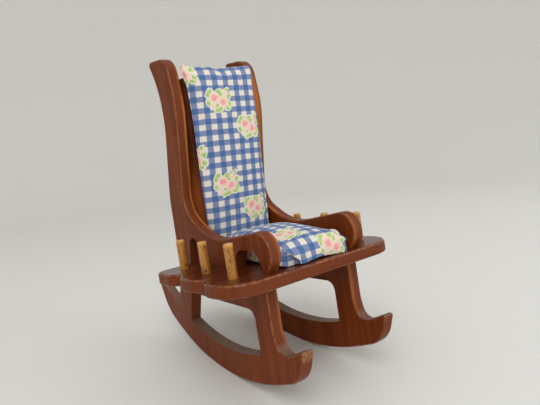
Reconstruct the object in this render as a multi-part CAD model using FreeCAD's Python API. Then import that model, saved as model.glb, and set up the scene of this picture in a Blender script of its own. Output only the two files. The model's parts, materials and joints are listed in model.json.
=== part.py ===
import FreeCAD, Part
import math
import os

from FreeCAD import Vector

# A sewing chair: a small rocking chair that holds six thread spools and two pincushion pads.
# It is drawn square to its seat: X to the right as seen from the front, Y to the rear,
# Z up from the seat's top. place_chair() then tilts it back to the angle at which it balances.

# Stock
BOARD = 11.1                    # sides
SEAT_BOARD = 10.5
BACK_BOARD = 15.9
INSIDE_WIDTH = 79.0             # between the two sides
EDGE_ROUND = 1.8                # eased edges of the sides
SEAT_TOP_ROUND = 2.2
SEAT_UNDER_ROUND = 1.2
BACK_EDGE_ROUND = 5.0
GLUE_GAP = 0.05                 # round a dowel or a screw in its hole

# Seat board
SEAT_DEPTH = 138.0
SEAT_REAR = 65.5
SEAT_WIDTH = 183.0
LOBE_DEPTH = 7.5                # depth of the notches between the scallops
LOBE_SHOULDER = 12.0            # from a notch to the full width of the seat
LOBE_ROUND = 14.0
NOTCH_ROUND = 2.8
SEAT_REAR_CORNER = 10.0
SEAT_FRONT_CORNER = 30.0

# Spool pegs
PEG_DIAMETER = 7.9
PEG_HEIGHT = 27.5               # above the seat
PEG_TENON = 6.35                # a thinner end below the peg's shoulder is glued into the seat
PEG_DEPTH = 7.0                 # in the seat
PEG_SPACING = 44.45
PEG_INSET = 21.1                # from the end of the seat
PEG_TOP_ROUND = 1.6

# Post of a side
POST_HEIGHT = 206.0
POST_TOP_REAR = 98.5
POST_TOP_FRONT = 56.5
POST_TOP_SLOPE = 6.5            # the top falls this much towards the front
POST_REAR_CORNER = 4.0
POST_FRONT_CORNER = 21.0
WAIST_REAR = 76.0
WAIST_REAR_HEIGHT = 160.0
WAIST_REAR_ROUND = 95.0
WAIST_FRONT = 50.0
WAIST_FRONT_HEIGHT = 152.0
WAIST_FRONT_ROUND = 90.0
SWELL_BACK = 100.0              # the rear edge swells out above the arm
SWELL_HEIGHT = 66.0
SWELL_ROUND = 110.0

# Arm of a side
SWEEP_BACK = 70.0               # corner of the sweep from post to arm
SWEEP_HEIGHT = 50.6
SWEEP_ROUND = 28.0
DIP_BACK = 21.0
DIP_HEIGHT = 22.2
DIP_ROUND = 76.0
ARM_FRONT = 70.0
ARM_HEIGHT = 34.1
NOSE_ROUND = 17.0
CHIN_HEIGHT = 10.0
CHIN_ROUND = 15.0
ARM_FOOT_FRONT = 62.5
ARCH_FRONT = 58.5
ARCH_LEAN = 9.0
ARCH_HEIGHT = 16.8
ARCH_FRONT_ROUND = 9.0
ARCH_REAR_ROUND = 12.0
ARCH_WIDTH = 44.2
ARCH_REAR_LEAN = 8.0
RELIEF_WIDTH = 18.5             # arched slot at the rear end of the seat's housing
RELIEF_HEIGHT = 24.4
RELIEF_ROUND = 9.0

# Legs and rocker of a side
LEG_SLOPE = 0.289               # the rear leg's front edge goes back this much for each unit down
LEG_FRONT_FOOT = 73.3           # where that edge passes the seat's top
LEG_BEND_BACK = 101.8           # the rear edge turns back below the seat
LEG_BEND_DROP = 8.0
LEG_BEND_ROUND = 45.0
REAR_NOTCH_BACK = 122.5
REAR_NOTCH_DROP = 54.0
REAR_NOTCH_ROUND = 4.0
TAIL_TIP_BACK = 172.5
TAIL_TIP_DROP = 25.5
TAIL_RUN = 18.3                 # straight run from the rocker's curve to the tail's bend
TAIL_ROUND = 50.0
ROCKER_RADIUS = 243.0
ROCKER_LOW_DROP = 103.2         # from the seat's top to the rocker's lowest point
ROCKER_LOW_BACK = 20.5
ROCKER_DEPTH = 25.0
ROCKER_FLAT = 30.0              # length that is planed flat where the chair stands at rest
ROCKER_CURVE_REAR = 119.5       # length of the curve behind and before its lowest point
ROCKER_CURVE_FRONT = 80.0
TOE_RUN = 25.5
TOE_ROUND = 28.0
TOE_TIP_FRONT = 92.5
TOE_TIP_DROP = 54.5
TIP_SPARE = 0.5                 # the tips' corners are this much rounder than the eased edges
FRONT_NOTCH_FRONT = 61.0
FRONT_NOTCH_DROP = 68.0
FRONT_NOTCH_ROUND = 9.5
FRONT_LEG_FACE = 56.4
FRONT_LEG_BEND_DROP = 48.0
FRONT_LEG_BEND_ROUND = 30.0
FRONT_LEG_TOP_WIDTH = 22.5
FRONT_LEG_FOOT_WIDTH = 22.0     # behind the front face of the leg's straight part
RAIL_DROP = 33.0                # from the seat's top to the rail's lower edge
OPENING_ROUND = 9.0
OPENING_CORNER = 3.0

# Back board
BACK_HEIGHT = 178.0
BACK_LEAN = 2.0                 # degrees forward of square to the seat
BACK_OVERHANG = 5.4             # the board's foot stands out this much behind the seat
BACK_SIDE_GAP = 0.1

# Pads
CLOTH = 0.8
HEM = 7.0                       # cloth turned in behind a pad
PAD_GAP = 0.15                  # between the layers of a pad
SEAT_PAD_WIDTH = 70.0
SEAT_PAD_FRONT = 67.0
SEAT_PAD_SIDE = 13.5
SEAT_PAD_CROWN = 15.5
SEAT_PAD_BASE = 4.0
BACK_PAD_WIDTH = 73.0
BACK_PAD_FOOT = 3.0
BACK_PAD_TOP = 189.5
BACK_PAD_SIDE = 7.0
BACK_PAD_CROWN = 7.0
BACK_PAD_BASE = 1.6
PADS_APART = 0.5                # at least, between the two pads
DRAW_IN = 1.2                   # the pads' sides pull in between the corners
PAD_STATIONS = (0.0, 0.12, 0.5, 0.88, 1.0)      # sections along a pad, as shares of its length
PAD_FULLNESS = (0.35, 0.75, 1.0, 0.75, 0.35)    # share of the crown at each section
PAD_WAISTS = (0.0, 0.5, 1.0, 0.5, 0.0)          # share of the draw-in at each section
PAD_END_SIDE = 0.5              # share of the side's height that a pad with no crown would keep

# Wood screws
SCREW_SHANK = 2.8
SCREW_HEAD = 5.6
SCREW_HEAD_HEIGHT = 1.6
RAIL_SCREW_REAR = 40.0
RAIL_SCREW_FRONT = -12.0
RAIL_SCREW_COVER = 4.0          # wood left above the point, in the seat
BACK_SCREW_SPACING = 46.0
BACK_SCREW_BITE = 14.0          # length in the back board
PAD_SCREW_SPACING = 50.0
PAD_SCREW_BITE = 2.8            # length in the pad's base
PAD_SCREW_MIDDLE = -10.0

# Densities in grams for each cubic millimetre, which set the angle of rest
WOOD = 0.00060
COTTON = 0.00030                # the cloth, and the stuffing packed under it
STEEL = 0.00785

# Sizes that follow from those above
SEAT_FRONT = SEAT_REAR - SEAT_DEPTH
SIDE_INSIDE = INSIDE_WIDTH / 2
SIDE_OUTSIDE = SIDE_INSIDE + BOARD
ROCKER_CENTRE = (ROCKER_LOW_BACK, ROCKER_RADIUS - ROCKER_LOW_DROP)
TIP_ROUND = EDGE_ROUND + TIP_SPARE
PEG_ROW = SEAT_WIDTH / 2 - PEG_INSET
LEAN = math.radians(BACK_LEAN)
BACK_FACE = SEAT_REAR + BACK_OVERHANG - BACK_BOARD / math.cos(LEAN)
SEAT_PAD_HEIGHT = SEAT_PAD_SIDE + SEAT_PAD_CROWN
BACK_PAD_DEPTH = BACK_PAD_SIDE + BACK_PAD_CROWN
SEAT_PAD_REAR = (BACK_FACE - BACK_PAD_DEPTH / math.cos(LEAN) - SEAT_PAD_HEIGHT * math.tan(LEAN)
                 - PADS_APART)
EASY = 0.001


def rounded_wire(corners, to_point):
    """Join corners (a, b, radius) by lines, with a tangent arc of that radius at each corner.

    A radius is limited to what the two lines at its corner have room for.
    """
    count = len(corners)
    turns = []
    for i, (a, b, radius) in enumerate(corners):
        before = Vector(a - corners[i - 1][0], b - corners[i - 1][1], 0)
        after = Vector(corners[(i + 1) % count][0] - a, corners[(i + 1) % count][1] - b, 0)
        half = before.getAngle(after) / 2
        turns.append((before, after, radius * math.tan(half), half))
    edges = []
    ends = []
    for i, (a, b, radius) in enumerate(corners):
        before, after, reach, half = turns[i]
        room_before = before.Length * reach / max(reach + turns[i - 1][2], EASY)
        room_after = after.Length * reach / max(reach + turns[(i + 1) % count][2], EASY)
        reach = min(reach, room_before, room_after)
        corner = Vector(a, b, 0)
        if reach < EASY:
            ends.append((corner, None, corner))
            continue
        start = corner - before * (reach / before.Length)
        finish = corner + after * (reach / after.Length)
        inward = (start + finish) * 0.5 - corner
        bow = reach * (1 / math.sin(half) - 1 / math.tan(half))
        ends.append((start, corner + inward * (bow / inward.Length), finish))
    for i, (start, middle, finish) in enumerate(ends):
        previous = ends[i - 1][2]
        if previous.distanceToPoint(start) > EASY:
            edges.append(Part.LineSegment(to_point(previous), to_point(start)).toShape())
        if middle is not None:
            arc = Part.Arc(to_point(start), to_point(middle), to_point(finish))
            edges.append(arc.toShape())
    return Part.Wire(edges)


def arc_corner(centre, radius, rear, front):
    """The corner whose rounding is the lower arc of a circle, from rear to front of its middle."""
    angle_rear = math.asin(rear / radius)
    angle_front = -math.asin(front / radius)
    middle = (angle_rear + angle_front) / 2
    reach = radius / math.cos((angle_rear - angle_front) / 2)
    return (centre[0] + reach * math.sin(middle), centre[1] - reach * math.cos(middle), radius)


def beyond_arc(centre, radius, offset, run):
    """The point a run past the end of a lower arc, along the arc's tangent there."""
    angle = math.asin(offset / radius)
    outward = math.copysign(run, offset)
    back = centre[0] + radius * math.sin(angle) + outward * math.cos(angle)
    height = centre[1] - radius * math.cos(angle) + outward * math.sin(angle)
    return back, height


def leg_front_edge(height):
    """Where the rear leg's front edge is, at a height above the seat's top."""
    return LEG_FRONT_FOOT - LEG_SLOPE * height


def side_outline():
    """Corners of a side board, from the post's top down its rear and round to the front."""
    tail_bend = beyond_arc(ROCKER_CENTRE, ROCKER_RADIUS, ROCKER_CURVE_REAR, TAIL_RUN)
    toe_bend = beyond_arc(ROCKER_CENTRE, ROCKER_RADIUS, -ROCKER_CURVE_FRONT, TOE_RUN)
    relief_rear = leg_front_edge(RELIEF_HEIGHT)
    arch_rear = -ARCH_FRONT + ARCH_WIDTH
    return [
        (POST_TOP_REAR, POST_HEIGHT, POST_REAR_CORNER),
        (WAIST_REAR, WAIST_REAR_HEIGHT, WAIST_REAR_ROUND),
        (SWELL_BACK, SWELL_HEIGHT, SWELL_ROUND),
        (LEG_BEND_BACK, -LEG_BEND_DROP, LEG_BEND_ROUND),
        (REAR_NOTCH_BACK, -REAR_NOTCH_DROP, REAR_NOTCH_ROUND),
        (TAIL_TIP_BACK, -TAIL_TIP_DROP, TIP_ROUND),
        (tail_bend[0], tail_bend[1], TAIL_ROUND),
        arc_corner(ROCKER_CENTRE, ROCKER_RADIUS, ROCKER_CURVE_REAR, ROCKER_CURVE_FRONT),
        (toe_bend[0], toe_bend[1], TOE_ROUND),
        (-TOE_TIP_FRONT, -TOE_TIP_DROP, TIP_ROUND),
        (-FRONT_NOTCH_FRONT, -FRONT_NOTCH_DROP, FRONT_NOTCH_ROUND),
        (-FRONT_LEG_FACE, -FRONT_LEG_BEND_DROP, FRONT_LEG_BEND_ROUND),
        (-FRONT_LEG_FACE, -SEAT_BOARD, 0),
        (leg_front_edge(-SEAT_BOARD), -SEAT_BOARD, 0),
        (relief_rear, RELIEF_HEIGHT, RELIEF_ROUND),
        (relief_rear - RELIEF_WIDTH, RELIEF_HEIGHT, RELIEF_ROUND),
        (leg_front_edge(0) - RELIEF_WIDTH, 0, 0),
        (arch_rear, 0, 0),
        (arch_rear - ARCH_REAR_LEAN, ARCH_HEIGHT, ARCH_REAR_ROUND),
        (-ARCH_FRONT + ARCH_LEAN, ARCH_HEIGHT, ARCH_FRONT_ROUND),
        (-ARCH_FRONT, 0, 0),
        (-ARM_FOOT_FRONT, 0, 0),
        (-ARM_FRONT, CHIN_HEIGHT, CHIN_ROUND),
        (-ARM_FRONT, ARM_HEIGHT, NOSE_ROUND),
        (DIP_BACK, DIP_HEIGHT, DIP_ROUND),
        (SWEEP_BACK, SWEEP_HEIGHT, SWEEP_ROUND),
        (WAIST_FRONT, WAIST_FRONT_HEIGHT, WAIST_FRONT_ROUND),
        (POST_TOP_FRONT, POST_HEIGHT - POST_TOP_SLOPE, POST_FRONT_CORNER),
    ]


def opening_outline():
    """Corners of the opening between the legs, the rail and the rocker."""
    inner = ROCKER_RADIUS - ROCKER_DEPTH
    leg_top = -FRONT_LEG_FACE + FRONT_LEG_TOP_WIDTH
    leg_foot = -FRONT_LEG_FACE + FRONT_LEG_FOOT_WIDTH
    rear_foot = leg_front_edge(ROCKER_CENTRE[1] - inner)
    front = ROCKER_LOW_BACK - leg_foot
    rear = rear_foot - ROCKER_LOW_BACK
    front_corner = beyond_arc(ROCKER_CENTRE, inner, -front, 0)
    rear_corner = beyond_arc(ROCKER_CENTRE, inner, rear, 0)
    return [
        (leg_front_edge(-RAIL_DROP), -RAIL_DROP, OPENING_CORNER),
        (rear_corner[0], rear_corner[1], 0),
        arc_corner(ROCKER_CENTRE, inner, rear, front),
        (front_corner[0], front_corner[1], 0),
        (leg_top, -RAIL_DROP, OPENING_ROUND),
    ]


def eased(solid, radius, chosen):
    """Round the chosen edges of a solid."""
    edges = [edge for edge in solid.Edges if chosen(edge.CenterOfMass)]
    return solid.makeFillet(radius, edges)


def side_board(sign):
    """One side: post, arm, legs and rocker cut from one board and housed round the seat."""
    inside = sign * SIDE_INSIDE
    through = Vector(sign * BOARD, 0, 0)

    def upright(point):
        return Vector(inside, point.x, point.y)

    board = Part.Face(rounded_wire(side_outline(), upright)).extrude(through)
    board = board.cut(Part.Face(rounded_wire(opening_outline(), upright)).extrude(through))

    def on_show(middle):
        on_face = min(abs(abs(middle.x) - SIDE_INSIDE), abs(abs(middle.x) - SIDE_OUTSIDE)) < EASY
        post_or_arm = middle.z > RELIEF_HEIGHT + EASY or (middle.z > EASY and middle.y < -ARCH_FRONT)
        front_leg = middle.z < -SEAT_BOARD - EASY and middle.y < -FRONT_LEG_FACE + EASY
        return on_face and (post_or_arm or front_leg)

    board = eased(board, EDGE_ROUND, on_show)
    return board.cut(screws("left_rail_screws" if sign < 0 else "right_rail_screws", GLUE_GAP))


def seat_outline():
    """Corners of the seat's plan, all round."""
    half = SEAT_WIDTH / 2
    notches = (PEG_SPACING / 2, -PEG_SPACING / 2)
    right = [(half, SEAT_FRONT, SEAT_FRONT_CORNER)]
    for notch in reversed(notches):
        right.append((half, notch - LOBE_SHOULDER, LOBE_ROUND))
        right.append((half - LOBE_DEPTH, notch, NOTCH_ROUND))
        right.append((half, notch + LOBE_SHOULDER, LOBE_ROUND))
    right.append((half, SEAT_REAR, SEAT_REAR_CORNER))
    left = [(-a, b, radius) for a, b, radius in reversed(right)]
    return right + left


def peg_places():
    """Name and place of each spool peg on the seat's top."""
    places = {}
    for side, sign in (("left", -1), ("right", 1)):
        for row, step in (("rear", 1), ("middle", 0), ("front", -1)):
            places[f"spool_peg_{side}_{row}"] = Vector(sign * PEG_ROW, step * PEG_SPACING, 0)
    return places


def seat_board():
    """The scalloped seat, with a blind hole for each peg and clear holes for the screws."""
    outline = rounded_wire(seat_outline(), lambda point: Vector(point.x, point.y, -SEAT_BOARD))
    board = Part.Face(outline).extrude(Vector(0, 0, SEAT_BOARD))
    board = eased(board, SEAT_TOP_ROUND, lambda middle: abs(middle.z) < EASY)
    board = eased(board, SEAT_UNDER_ROUND, lambda middle: abs(middle.z + SEAT_BOARD) < EASY)
    for place in peg_places().values():
        hole_radius = PEG_TENON / 2 + GLUE_GAP
        hole_depth = PEG_DEPTH + GLUE_GAP
        foot = place - Vector(0, 0, hole_depth)
        board = board.cut(Part.makeCylinder(hole_radius, hole_depth + PEG_HEIGHT, foot))
    for node in screw_places():
        board = board.cut(screws(node, GLUE_GAP))
    return board


def spool_peg(place):
    """A peg with a rounded top, whose shoulder stands on the seat and whose tenon is glued into it."""
    peg = Part.makeCylinder(PEG_DIAMETER / 2, PEG_HEIGHT, place)
    peg = eased(peg, PEG_TOP_ROUND, lambda middle: middle.z > PEG_HEIGHT - EASY)
    foot = place - Vector(0, 0, PEG_DEPTH)
    return peg.fuse(Part.makeCylinder(PEG_TENON / 2, PEG_DEPTH, foot)).removeSplitter()


def screw(head, length, gap=0.0):
    """A countersunk wood screw driven up from its head, or with a gap the hole that it sits in."""
    shank = SCREW_SHANK / 2 + gap
    rim = SCREW_HEAD / 2 + gap
    points = [Vector(0, 0, 0), Vector(rim, 0, 0), Vector(shank, 0, SCREW_HEAD_HEIGHT),
              Vector(shank, 0, length - SCREW_SHANK), Vector(gap + EASY, 0, length + gap),
              Vector(0, 0, length + gap)]
    profile = Part.Face(Part.makePolygon(points + points[:1]))
    return profile.revolve(Vector(0, 0, 0), Vector(0, 0, 1), 360).translated(head)


def screw_places():
    """Length and head places of the screws in each node of screws."""
    rail = SIDE_INSIDE + BOARD / 2
    rail_length = RAIL_DROP - RAIL_SCREW_COVER
    back = (BACK_FACE + SEAT_REAR) / 2
    pad_length = SEAT_BOARD + CLOTH + PAD_GAP + PAD_SCREW_BITE
    return {
        "left_rail_screws": (rail_length, [Vector(-rail, RAIL_SCREW_REAR, -RAIL_DROP),
                                           Vector(-rail, RAIL_SCREW_FRONT, -RAIL_DROP)]),
        "right_rail_screws": (rail_length, [Vector(rail, RAIL_SCREW_REAR, -RAIL_DROP),
                                            Vector(rail, RAIL_SCREW_FRONT, -RAIL_DROP)]),
        "back_board_screws": (SEAT_BOARD + BACK_SCREW_BITE,
                              [Vector(-BACK_SCREW_SPACING / 2, back, -SEAT_BOARD),
                               Vector(BACK_SCREW_SPACING / 2, back, -SEAT_BOARD)]),
        "seat_pad_screws": (pad_length,
                            [Vector(0, PAD_SCREW_MIDDLE - PAD_SCREW_SPACING / 2, -SEAT_BOARD),
                             Vector(0, PAD_SCREW_MIDDLE + PAD_SCREW_SPACING / 2, -SEAT_BOARD)]),
    }


def screws(node, gap=0.0):
    """The screws of one node, or with a gap the holes that they sit in."""
    length, heads = screw_places()[node]
    return Part.makeCompound([screw(head, length, gap) for head in heads])


def on_back(shape):
    """Move a shape drawn flat, its face up and its foot at Y 0, to the back board's front."""
    placed = shape.copy()
    placed.rotate(Vector(0, 0, 0), Vector(1, 0, 0), 90 + BACK_LEAN)
    placed.translate(Vector(0, BACK_FACE, 0))
    return placed


def back_board():
    """The board between the posts, standing on the rear of the seat and leaning a little forward."""
    width = INSIDE_WIDTH - 2 * BACK_SIDE_GAP
    spare = BACK_BOARD * math.tan(LEAN)
    blank = Part.makeBox(width, BACK_HEIGHT + spare, BACK_BOARD, Vector(-width / 2, -spare, -BACK_BOARD))

    def front_corner(middle):
        return abs(middle.z) < EASY and abs(abs(middle.x) - width / 2) < EASY

    board = on_back(eased(blank, BACK_EDGE_ROUND, front_corner))
    below = Part.makeBox(2 * width, 2 * SEAT_DEPTH, SEAT_BOARD, Vector(-width, -SEAT_DEPTH, -SEAT_BOARD))
    return board.cut(below).cut(screws("back_board_screws", GLUE_GAP))


def pad_section(half, base, side, crown, place):
    """A cross-section of a pad: flat base, sides that draw in from Z 0 up, and an arched top."""
    low_half = half - DRAW_IN * base / side
    low_left = Vector(-low_half, place, base)
    low_right = Vector(low_half, place, base)
    top_left = Vector(-half + DRAW_IN, place, side)
    top_right = Vector(half - DRAW_IN, place, side)
    top = Part.Arc(top_right, Vector(0, place, side + crown), top_left)
    edges = [Part.LineSegment(low_left, low_right), Part.LineSegment(low_right, top_right), top,
             Part.LineSegment(top_left, low_left)]
    return Part.Wire([edge.toShape() for edge in edges])


def pad_form(width, foot, head, base, side, crown, inset):
    """A crowned pad lying flat, from foot to head along Y, made smaller by an inset and cut at a base."""
    low_end = foot + inset
    length = head - foot - 2 * inset
    sections = []
    for station, full, waist in zip(PAD_STATIONS, PAD_FULLNESS, PAD_WAISTS):
        half = width / 2 - inset - DRAW_IN * waist
        height = side * (PAD_END_SIDE + (1 - PAD_END_SIDE) * full) - inset
        sections.append(pad_section(half, base, height, crown * full, low_end + station * length))
    return Part.makeLoft(sections, True, False)


def pad_layers(width, foot, head, side, crown, base_thickness):
    """The three layers of a pad lying on Z 0: cloth cover, filling and stiff base."""
    outer = pad_form(width, foot, head, 0, side, crown, 0)
    hollow = pad_form(width, foot, head, CLOTH, side, crown, CLOTH)
    mouth_inset = CLOTH + HEM
    mouth = Part.makeBox(width - 2 * mouth_inset, head - foot - 2 * mouth_inset, 2 * CLOTH,
                         Vector(-width / 2 + mouth_inset, foot + mouth_inset, -CLOTH / 2))
    cover = outer.cut(hollow).cut(mouth)
    base_top = CLOTH + PAD_GAP + base_thickness
    base_inset = CLOTH + PAD_GAP + 2 * DRAW_IN
    base = Part.makeBox(width - 2 * base_inset, head - foot - 2 * base_inset, base_thickness,
                        Vector(-width / 2 + base_inset, foot + base_inset, CLOTH + PAD_GAP))
    filling = pad_form(width, foot, head, base_top + PAD_GAP, side, crown, CLOTH + PAD_GAP)
    return cover, filling, base


def seat_pad():
    """The pincushion seat, on a thin plywood base that two screws hold from below."""
    cover, filling, base = pad_layers(SEAT_PAD_WIDTH, -SEAT_PAD_FRONT, SEAT_PAD_REAR, SEAT_PAD_SIDE,
                                      SEAT_PAD_CROWN, SEAT_PAD_BASE)
    base = base.cut(screws("seat_pad_screws", GLUE_GAP))
    return {"seat_pad_cover": cover, "seat_pad_filling": filling, "seat_pad_base": base}


def back_pad():
    """The long pad glued to the front of the back board, on a thin plywood base."""
    cover, filling, base = pad_layers(BACK_PAD_WIDTH, BACK_PAD_FOOT, BACK_PAD_TOP, BACK_PAD_SIDE,
                                      BACK_PAD_CROWN, BACK_PAD_BASE)
    layers = {"back_pad_cover": cover, "back_pad_filling": filling, "back_pad_base": base}
    return {name: on_back(layer) for name, layer in layers.items()}


def chair_nodes():
    """Every node of the chair, square to the seat, with its density."""
    nodes = {
        "left_side": (side_board(-1), WOOD),
        "right_side": (side_board(1), WOOD),
        "seat_board": (seat_board(), WOOD),
        "back_board": (back_board(), WOOD),
    }
    for name in screw_places():
        nodes[name] = (screws(name), STEEL)
    for name, place in peg_places().items():
        nodes[name] = (spool_peg(place), WOOD)
    pad_density = {"cover": COTTON, "filling": COTTON, "base": WOOD}
    for name, layer in {**seat_pad(), **back_pad()}.items():
        nodes[name] = (layer, pad_density[name.split("_")[-1]])
    return nodes


def rest_tilt(nodes):
    """Angle in degrees by which the chair leans back when its weight hangs under the rockers' centre."""
    mass = sum(shape.Volume * density for shape, density in nodes.values())
    back = 0.0
    height = 0.0
    for shape, density in nodes.values():
        for solid in shape.Solids:
            back += solid.Volume * density * solid.CenterOfMass.y / mass
            height += solid.Volume * density * solid.CenterOfMass.z / mass
    print(f"mass {mass:.1f} g, centre of mass {back:.2f} back, {height:.2f} up from the seat's top")
    return math.degrees(math.atan2(back - ROCKER_CENTRE[0], ROCKER_CENTRE[1] - height))


def place_chair(nodes):
    """Tilt the chair to its angle of rest, plane the rockers' flats, and stand it on Z 0.

    Its box is centred on X and Y.
    """
    tilt = rest_tilt(nodes)
    centre = Vector(0, ROCKER_CENTRE[0], ROCKER_CENTRE[1])
    tilted = {}
    for name, (shape, _) in nodes.items():
        turned = shape.copy()
        turned.rotate(centre, Vector(1, 0, 0), -tilt)
        tilted[name] = turned
    ground = centre.z - math.sqrt(ROCKER_RADIUS ** 2 - (ROCKER_FLAT / 2) ** 2)
    below = Part.makeBox(2 * SEAT_WIDTH, 2 * ROCKER_FLAT, ROCKER_DEPTH,
                         Vector(-SEAT_WIDTH, centre.y - ROCKER_FLAT, ground - ROCKER_DEPTH))
    for side in ("left_side", "right_side"):
        tilted[side] = tilted[side].cut(below)
    box = Part.makeCompound(list(tilted.values())).optimalBoundingBox(False, False)
    shift = Vector(0, -(box.YMin + box.YMax) / 2, -ground)
    print(f"tilt {tilt:.2f} degrees, box {box.XLength:.1f} x {box.YLength:.1f} x {box.ZLength:.1f}")
    print(f"shift {shift.y:.3f} {shift.z:.3f}")
    return {name: shape.translated(shift) for name, shape in tilted.items()}


def main():
    """Build the chair and write one file for each node."""
    os.makedirs("parts", exist_ok=True)
    for name, shape in place_chair(chair_nodes()).items():
        if not shape.isValid():
            raise ValueError(f"{name} is not a valid solid")
        print(f"{name}: {len(shape.Solids)} solids, {shape.Volume:.0f} mm3")
        shape.exportStep(f"parts/{name}.step")


main()
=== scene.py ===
"""Looks of a small sewing chair: stained wood, varnished pegs and two gingham pincushion pads."""

import json
import logging
import math
from dataclasses import dataclass, replace
from enum import Enum
from typing import Any

import bpy
import numpy as np
from mathutils import Matrix, Vector, noise
from mathutils.bvhtree import BVHTree
from mathutils.interpolate import poly_3d_calc

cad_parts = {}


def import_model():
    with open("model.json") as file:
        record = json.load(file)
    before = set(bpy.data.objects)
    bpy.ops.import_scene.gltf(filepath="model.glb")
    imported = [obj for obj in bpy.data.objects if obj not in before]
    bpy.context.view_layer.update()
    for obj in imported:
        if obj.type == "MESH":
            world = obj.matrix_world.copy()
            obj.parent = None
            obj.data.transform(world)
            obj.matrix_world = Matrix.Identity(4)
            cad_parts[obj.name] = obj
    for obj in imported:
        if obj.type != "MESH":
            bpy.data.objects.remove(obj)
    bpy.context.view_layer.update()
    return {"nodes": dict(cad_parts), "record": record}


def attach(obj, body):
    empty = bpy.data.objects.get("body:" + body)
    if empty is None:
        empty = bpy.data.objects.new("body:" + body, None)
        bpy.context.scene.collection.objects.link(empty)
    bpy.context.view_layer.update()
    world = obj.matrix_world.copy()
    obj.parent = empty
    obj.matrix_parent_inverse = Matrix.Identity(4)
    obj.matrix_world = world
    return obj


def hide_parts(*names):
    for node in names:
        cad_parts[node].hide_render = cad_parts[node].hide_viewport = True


LOG = logging.getLogger("sewing_chair")
MM = 0.001
BODY = "root"
CLOTH_MAP = "cloth"
# Settings that many nodes share: a smooth step between two values, and a mix of two colours.
SMOOTH_STEP = {"interpolation_type": "SMOOTHSTEP"}
MIX_COLOURS = {"data_type": "RGBA", "out": 2}
# A wave texture at scale 1 repeats after this length.
WAVE_REPEAT = math.tau / 20

Point = tuple[float, float, float]
Span = tuple[float, float]
Socket = bpy.types.NodeSocket
Tree = bpy.types.NodeTree
Layer = tuple[Socket, Span, Any, Any]


class Grain(Enum):
    """The way a board's grain runs, in the chair's own frame."""

    UPRIGHT = (0.0, 0.0, 1.0)
    CROSSWISE = (1.0, 0.0, 0.0)


class BroadFace(Enum):
    """The normal of a board's broad faces, in the chair's own frame."""

    SIDEWAYS = (1.0, 0.0, 0.0)
    UPWARD = (0.0, 0.0, 1.0)
    FRONTWARD = (0.0, 1.0, 0.0)


class Wall(Enum):
    """The six walls of a pad, by lattice axis and end."""

    LEFT = (0, 0)
    RIGHT = (0, 1)
    FOOT = (1, 0)
    HEAD = (1, 1)
    BASE = (2, 0)
    TOP = (2, 1)


def linear(code: str) -> tuple[float, float, float, float]:
    """Turn an sRGB hex colour into linear light.

    Args:
        code: Colour such as "#6e3d26".

    Returns:
        Red, green, blue and alpha.
    """
    parts = [int(code[i : i + 2], 16) / 255 for i in (1, 3, 5)]
    light = [c / 12.92 if c <= 0.04045 else ((c + 0.055) / 1.055) ** 2.4 for c in parts]
    return (light[0], light[1], light[2], 1.0)


def smooth(low: float, high: float, value: Any) -> Any:
    """Rise smoothly from 0 at low to 1 at high.

    Args:
        low: Value at which the result leaves 0.
        high: Value at which the result reaches 1.
        value: Number or array.

    Returns:
        Number or array from 0 to 1.
    """
    share = np.clip((value - low) / (high - low), 0.0, 1.0)
    return share * share * (3 - 2 * share)


def bell(value: Any, middle: float, width: float) -> Any:
    """Rise to 1 at a middle and fall away on both sides.

    Args:
        value: Number or array.
        middle: Value that gives 1.
        width: Distance at which about a third is left.

    Returns:
        Number or array from 0 to 1.
    """
    return np.exp(-(((value - middle) / width) ** 2))


def add_node(tree: Tree, kind: str, inputs: Any = (), out: int | str = 0, **settings: Any) -> Socket:
    """Add a shader node with its settings and links.

    Args:
        tree: Tree that takes the node.
        kind: Blender's name for the node type, without "ShaderNode".
        inputs: Sockets to link, values to set or hex colours, in order or as a dict by input.
        out: Which output to return.
        settings: Properties of the node.

    Returns:
        One output socket of the node, or its first input if it has no outputs.
    """
    node = tree.nodes.new("ShaderNode" + kind)
    for name, value in settings.items():
        setattr(node, name, value)
    by_input = inputs if isinstance(inputs, dict) else dict(enumerate(inputs))
    for name, value in by_input.items():
        if isinstance(value, bpy.types.NodeSocket):
            tree.links.new(value, node.inputs[name])
        else:
            node.inputs[name].default_value = linear(value) if isinstance(value, str) else value
    return node.outputs[out] if node.outputs else node.inputs[0]


def limited(tree: Tree, share: Any, limits: list[tuple[Socket, Span]]) -> Any:
    """Keep a share only where each of several values is past its span.

    Args:
        tree: Tree that takes the nodes.
        share: The share to keep.
        limits: Each value, with where it leaves nothing and where it leaves all.

    Returns:
        The share that is left.
    """
    for value, span in limits:
        share = add_node(tree, "MapRange", (value, *span, 0.0, share), **SMOOTH_STEP)
    return share


def layered(tree: Tree, ground: Any, layers: list[Layer]) -> Any:
    """Lay colours over one another, each where its pattern is strong.

    Args:
        tree: Tree that takes the nodes.
        ground: The colour below.
        layers: Each pattern, with where it starts and is full, its largest share and its colour.

    Returns:
        The colour on top.
    """
    for pattern, span, share, colour in layers:
        shown = limited(tree, share, [(pattern, span)])
        ground = add_node(tree, "Mix", {0: shown, 6: ground, 7: colour}, **MIX_COLOURS)
    return ground


def new_material(name: str) -> tuple[bpy.types.Material, Tree]:
    """Make an empty node material.

    Args:
        name: Name of the finish.

    Returns:
        The material and its node tree.
    """
    material = bpy.data.materials.new(name)
    material.use_nodes = True
    material.node_tree.nodes.clear()
    return material, material.node_tree


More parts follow.
